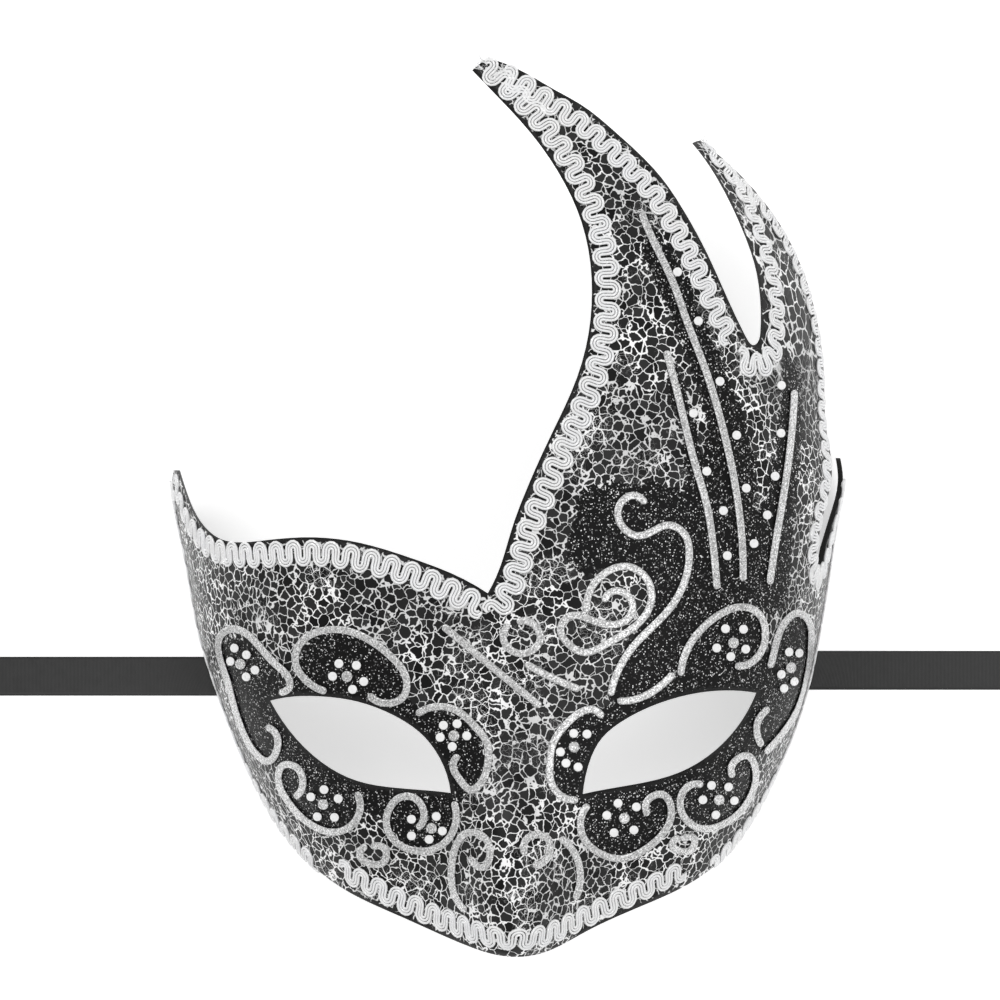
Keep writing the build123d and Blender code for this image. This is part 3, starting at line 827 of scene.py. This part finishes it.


# %% [markdown]
# ## Braid strips
# Eight lengths of gimp hide the cut edges, and four of them end in loose fibres. Most are
# given on the front view. Those on the temples are seen only from the side,
# so their points are given as y and z.

# %% Braid routes, front view or side view, millimetres
FRONT_BRAIDS = {
    "braid_brow": [
        (-85.2, 5), (-83.8, -1), (-80.6, -7.5), (-75.5, -12.4), (-69, -13.6), (-60, -13.4),
        (-50, -12.7), (-40, -13.8), (-30, -16.4), (-20, -20), (-12, -23.8), (-7, -26.6),
    ],
    "braid_neck": [
        (-5.4, -28.2), (-2.2, -25), (0, -21), (2.2, -14.5), (4.4, -6.7), (9, 4.4), (14, 15),
        (19.7, 27.6), (22.8, 38.5), (24, 50), (23.2, 62), (20.4, 72.8), (15.4, 83.2), (8.4, 93.4),
        (0.6, 102), (-7.4, 109),
    ],
    "braid_crest": [
        (-2.4, 106.6), (2, 104), (8.4, 99.8), (15.6, 95.2), (22.8, 89.3), (34, 78.2),
        (39.8, 69.6), (45.2, 59.4), (49.8, 49.2), (54.4, 39.8),
    ],
    "braid_second_plume": [
        (56, 36.4), (58.6, 34), (62, 33.6), (65.2, 36.2), (66.4, 42), (66.4, 50.4), (64.8, 60),
        (61, 71.4), (55.8, 81.8), (48.6, 89),
    ],
    "braid_chin": [
        (-43, -92.2), (-28, -100), (-12, -106.2), (-1, -108.8), (8, -108), (18, -103.6),
        (32, -97.3), (43.5, -92.4),
    ],
}
SIDE_BRAIDS = {
    "braid_left_side": (-1, [
        (-92.4, 37.4), (-88, 33), (-80.6, 24), (-69, 13.2), (-58, 5.6), (-46, 4.6), (-30, 4.6),
        (-14, 4.8), (-7, 6.6), (-2, 9.8), (2.5, 15.6), (3.6, 19),
    ]),
    "braid_right_side": (1, [
        (-92.4, 37.4), (-88, 33), (-80.6, 24), (-69, 13.2), (-58, 5.6), (-46, 4.6), (-30, 4.6),
        (-12, 4.6), (-4, 5.4),
    ]),
    "braid_notch": (1, [
        (6, 9.4), (-1, 14), (-8, 18.6), (-15, 23.4), (-19.6, 28.6), (-19, 34.4), (-12, 37.6),
        (0, 36.6), (10, 32.8), (22, 28.6), (40, 26.2), (58, 28), (74, 33), (83, 38.6),
    ]),
}
LOOSE_ENDS = {
    "braid_brow": ("start",),
    "braid_neck": ("end",),
    "braid_crest": ("start",),
    "braid_second_plume": ("end",),
}
print("strips", len(FRONT_BRAIDS) + len(SIDE_BRAIDS))


# %% Lay the strips
for node, points in FRONT_BRAIDS.items():
    cords = gimp(node + "_cords", front_route(points), LOOSE_ENDS.get(node, ()))
    dress(cords, THREAD, "gimp_braid", node)
for node, (side, points) in SIDE_BRAIDS.items():
    cords = gimp(node + "_cords", side_route(points, side))
    dress(cords, THREAD, "gimp_braid", node)
    print(node, "has", len(cords.data.polygons), "faces")


# %% [markdown]
# ## Glue pads and glued tabs
# The end of each tie is pressed into a pad of hot-melt glue inside the temple. A fluid
# simulation could pour the glue, but the pad is hardly seen, so it is rounded from the
# frame's solid like the beads, and a cloudy, slightly translucent shader does the rest.

# %% Hot-melt glue
def make_glue():
    material, nodes, shader = new_material("hot_melt_glue")
    place = nodes.nodes.new("ShaderNodeTexCoord").outputs["Object"]
    cloud = add_node(nodes, "ShaderNodeTexNoise", Vector=place, Scale=260.0, Detail=3.0).outputs[0]
    amber = mix_colour(nodes, cloud, (0.62, 0.58, 0.46, 1), (0.85, 0.82, 0.72, 1))
    nodes.links.new(amber, shader.inputs["Base Color"])
    nodes.links.new(ramp(nodes, cloud, 0.3, 0.7, 0.15, 0.35), shader.inputs["Roughness"])
    shader.inputs["Subsurface Weight"].default_value = 0.3
    shader.inputs["Subsurface Radius"].default_value = (1.5 * MM, 1.2 * MM, 0.8 * MM)
    bump = add_node(nodes, "ShaderNodeBump", Strength=0.4, Distance=0.4 * MM, Height=cloud)
    nodes.links.new(bump.outputs[0], shader.inputs["Normal"])
    return material


GLUE = make_glue()
for side in ("left", "right"):
    node = f"glue_pad_{side}"
    pad = bead(node, node + "_bead", GLUE_VOXEL, 6)
    dress(pad, GLUE, "hot_melt_glue", node)
    print(node, "has", len(pad.data.polygons), "faces")


# %% [markdown]
# ## Satin ties
# A satin ribbon is a flat cord with a fine weft, a woven edge and a soft sheen. Its weave
# could be real threads, but at this size a wave pattern along the ribbon's own UV map
# looks the same, and it bends with the ribbon.

# %% Satin
EDGE_START = 4.3 * MM      # from the ribbon's middle to its woven edge


def make_satin():
    material, nodes, shader = new_material("black_satin")
    uv = nodes.nodes.new("ShaderNodeUVMap")
    uv.uv_map = "weave"
    split = nodes.nodes.new("ShaderNodeSeparateXYZ")
    nodes.links.new(uv.outputs[0], split.inputs[0])
    place = uv.outputs[0]
    bands = {"wave_type": "BANDS", "bands_direction": "X"}
    weft = add_node(nodes, "ShaderNodeTexWave", bands, Vector=place, Scale=900.0, Distortion=0.6, Detail=1.0)
    streak = add_node(nodes, "ShaderNodeTexNoise", Vector=place, Scale=420.0, Detail=2.0).outputs[0]
    colour = mix_colour(nodes, weft.outputs["Fac"], grey(0.007), grey(0.024))
    across = math_node(nodes, "ABSOLUTE", split.outputs[1])
    selvedge = ramp(nodes, across, EDGE_START, EDGE_START + 0.3 * MM)
    colour = mix_colour(nodes, selvedge, colour, grey(0.005))
    nodes.links.new(colour, shader.inputs["Base Color"])
    nodes.links.new(ramp(nodes, streak, 0.3, 0.7, 0.34, 0.46), shader.inputs["Roughness"])
    shader.inputs["Sheen Weight"].default_value = 0.25
    shader.inputs["Anisotropic"].default_value = 0.4
    height = math_node(nodes, "ADD", weft.outputs["Fac"], math_node(nodes, "MULTIPLY", selvedge, 2.0))
    bump = add_node(nodes, "ShaderNodeBump", Strength=0.35, Distance=0.05 * MM, Height=height)
    nodes.links.new(bump.outputs[0], shader.inputs["Normal"])
    return material


SATIN = make_satin()
print("material", SATIN.name)


# %% [markdown]
# ## The ribbon's shape
# Each tie bends under the rim, lies flat on the table, turns up on its edge and is wound
# into a loose coil, so its whole length is there. Cloth could let it fall, but it would
# not coil. So rows of points are laid along its line, turned a little more in each row,
# and joined, and the first rows slant along the rim that the tie folds at.

# %% A ribbon along a route
RIBBON_WIDTH = 10 * MM
RIBBON_THICK = 0.35 * MM
STRIP_CELLS = 6
SLANT_ROWS = 3


def ribbon(name, line, tilts, cut):
    """A strip of even width along a line. A tilt of 0 lies flat and 1 stands on its edge.

    `cut` is the slope of the start, so that the strip begins along the rim it folds at.
    """
    work = bmesh.new()
    weave = work.loops.layers.uv.new("weave")
    shares = [(cell / STRIP_CELLS - 0.5) * RIBBON_WIDTH for cell in range(STRIP_CELLS + 1)]
    outline = [(share, 0.5) for share in shares] + [(share, -0.5) for share in reversed(shares)]
    rows, along = [], 0.0
    for i, point in enumerate(line):
        forward = (line[min(i + 1, len(line) - 1)] - line[max(i - 1, 0)]).normalized()
        flat = Vector((0, 0, 1)).cross(forward).normalized()
        turn = tilts[i] * math.pi / 2
        across = flat * math.cos(turn) + Vector((0, 0, 1)) * math.sin(turn)
        upward = forward.cross(across).normalized()
        along += (line[i] - line[i - 1]).length if i else 0.0
        slant = cut * max(0.0, 1 - i / SLANT_ROWS)
        row = []
        for share, layer in outline:
            place = point + across * share + upward * layer * RIBBON_THICK + forward * share * slant
            row.append((work.verts.new(place), along, share))
        rows.append(row)
    count = len(outline)
    for low, high in zip(rows, rows[1:]):
        for i in range(count):
            corners = (low[i], high[i], high[(i + 1) % count], low[(i + 1) % count])
            face = work.faces.new([corner[0] for corner in corners])
            for loop, corner in zip(face.loops, corners):
                loop[weave].uv = corner[1:]
    for row in (rows[0], rows[-1]):
        work.faces.new([corner[0] for corner in row])
    bmesh.ops.recalc_face_normals(work, faces=work.faces[:])
    mesh = bpy.data.meshes.new(name)
    work.to_mesh(mesh)
    work.free()
    piece = bpy.data.objects.new(name, mesh)
    bpy.context.scene.collection.objects.link(piece)
    shade_by_angle(piece)
    return piece


print("ribbon", RIBBON_WIDTH / MM, "mm wide,", RIBBON_THICK / MM, "mm thick")


# %% The line of each tie
TIE_LENGTH = 0.45
TAB_LENGTH = 0.015         # the part glued inside the temple
TURN_RUN = 28 * MM         # length over which the ribbon turns up on its edge
TURN_ROWS = 16
FLAT_ROWS = 12
COIL_OUT = 29.7 * MM       # radius at which the coil starts
COIL_STEP = 4.6 * MM       # how much it tightens in one turn
TURN_POINTS = 28
TURN_SHARE = 0.8           # share of the run after which the ribbon stands upright
RIM_CLEARANCE = 0.35 * MM
LIFT = 0.02 * MM           # gap between the ribbon and the table
RIM_SLOPE = {"left": -0.33, "right": 0.26}     # how the temple rims run across the ties


def tie_line(side):
    """Points of one tie from the rim to its free end, and how far each is turned up."""
    strip_low, strip_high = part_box(f"tie_{side}")
    sign = -1 if side == "left" else 1
    inset = abs(RIM_SLOPE[side]) * RIBBON_WIDTH / 2 + RIM_CLEARANCE
    start_x = strip_high.x - inset if sign < 0 else strip_low.x + inset
    end_x = strip_low.x if sign < 0 else strip_high.x
    y = (strip_low.y + strip_high.y) / 2
    flat_z = RIBBON_THICK / 2 + LIFT
    centre_x = end_x + sign * TURN_RUN
    centre_y = y - COIL_OUT
    line, tilts = [], []
    for step in range(FLAT_ROWS + 1):
        line.append(Vector((start_x + (end_x - start_x) * step / FLAT_ROWS, y, flat_z)))
        tilts.append(0.0)
    for step in range(1, TURN_ROWS + 1):
        share = step / TURN_ROWS
        ease = min(share / TURN_SHARE, 1.0)
        ease = ease * ease * (3 - 2 * ease)
        rise = math.sin(ease * math.pi / 2) * RIBBON_WIDTH / 2
        level = rise + flat_z * math.cos(ease * math.pi / 2)
        line.append(Vector((end_x + (centre_x - end_x) * share, y, level)))
        tilts.append(ease)
    laid = sum((b - a).length for a, b in zip(line, line[1:]))
    turn = 0.0
    while laid < TIE_LENGTH - TAB_LENGTH:
        turn += 1 / TURN_POINTS
        radius = COIL_OUT - COIL_STEP * turn
        angle = math.pi / 2 - sign * turn * 2 * math.pi
        beside = Vector((radius * math.cos(angle), radius * math.sin(angle), RIBBON_WIDTH / 2))
        line.append(Vector((centre_x, centre_y, 0)) + beside)
        tilts.append(1.0)
        laid += (line[-1] - line[-2]).length
    return line, tilts, laid


for side, slope in RIM_SLOPE.items():
    print(side, "tie has", len(tie_line(side)[0]), "rows, and its rim slopes", slope)


# %% Make the ties and dress the glued tabs
for side in ("left", "right"):
    line, tilts, laid = tie_line(side)
    tie = ribbon(f"tie_{side}_ribbon", line, tilts, RIM_SLOPE[side])
    dress(tie, SATIN, "black_satin", f"tie_{side}", f"tie_coil_{side}", body=f"ribbon_{side}")
    print(side, "tie", round(laid / MM), "mm laid out")
    tab_low, tab_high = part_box(f"tie_tab_{side}")
    tab = merged_copy(f"tie_tab_{side}", f"tie_tab_{side}_ribbon")
    weave = tab.data.uv_layers.new(name="weave")
    for loop in tab.data.loops:
        co = tab.data.vertices[loop.vertex_index].co
        weave.data[loop.index].uv = (co.z, co.y - (tab_low.y + tab_high.y) / 2)
    dress(tab, SATIN, "black_satin", f"tie_tab_{side}")


# %% [markdown]
# ## Table, light and camera
# The mask lies on a plain pale table. A backdrop curved up at the back would do too, but
# the view is from straight above, so one flat sheet is enough. It glows a little, which
# is painted light: the glow lifts the shade under the mask and keeps the shadows pale.

# %% Table
TABLE_HALF = 3.0


def make_table():
    work = bmesh.new()
    bmesh.ops.create_grid(work, x_segments=2, y_segments=2, size=TABLE_HALF)
    mesh = bpy.data.meshes.new("table")
    work.to_mesh(mesh)
    work.free()
    table = bpy.data.objects.new("table", mesh)
    bpy.context.scene.collection.objects.link(table)
    material, _, shader = new_material("table_paper")
    shader.inputs["Base Color"].default_value = grey(0.92)
    shader.inputs["Roughness"].default_value = 0.9
    # Painted light: the table's emission lightens the shade under the mask.
    shader.inputs["Emission Color"].default_value = grey(1.0)
    shader.inputs["Emission Strength"].default_value = 0.5
    table.data.materials.append(material)


make_table()
print("table", 2 * TABLE_HALF, "m wide")


# %% [markdown]
# ## Lights
# A key light from the upper left and a wider fill from the lower right show the relief
# of the face. Small lamps would give hard glints on the glitter, so both are wide areas.

# %% Lights
def area_light(name, place, size, power):
    light = bpy.data.lights.new(name, "AREA")
    light.size = size
    light.energy = power
    lamp = bpy.data.objects.new(name, light)
    lamp.location = place
    lamp.rotation_euler = (-Vector(place)).to_track_quat("-Z", "Y").to_euler()
    bpy.context.scene.collection.objects.link(lamp)


area_light("soft_key", (-0.7, 0.9, 1.5), 1.0, 14)
area_light("soft_fill", (0.9, -0.5, 1.4), 1.2, 9)
world = bpy.data.worlds.new("studio")
world.use_nodes = True
world.node_tree.nodes["Background"].inputs[0].default_value = grey(1.0)
world.node_tree.nodes["Background"].inputs[1].default_value = 0.5
bpy.context.scene.world = world
bpy.context.scene.view_settings.view_transform = "Standard"


# %% [markdown]
# ## Camera
# The mask is seen straight from the front, which here is from above. An orthographic
# camera would flatten it, so a long lens far off keeps a trace of depth.

# %% Camera
FACE_HEIGHT = 0.055        # the height at which the view is a quarter of a metre wide
DISTANCE = 2.0
VIEW_WIDTH = 0.25
SENSOR = 36.0
camera = bpy.data.cameras.new("camera")
camera.lens = SENSOR * DISTANCE / VIEW_WIDTH
camera.clip_end = 20
eye = bpy.data.objects.new("camera", camera)
eye.location = (-0.0021, 0.00125, FACE_HEIGHT + DISTANCE)
bpy.context.scene.collection.objects.link(eye)
bpy.context.scene.camera = eye
print("lens", round(camera.lens), "mm")
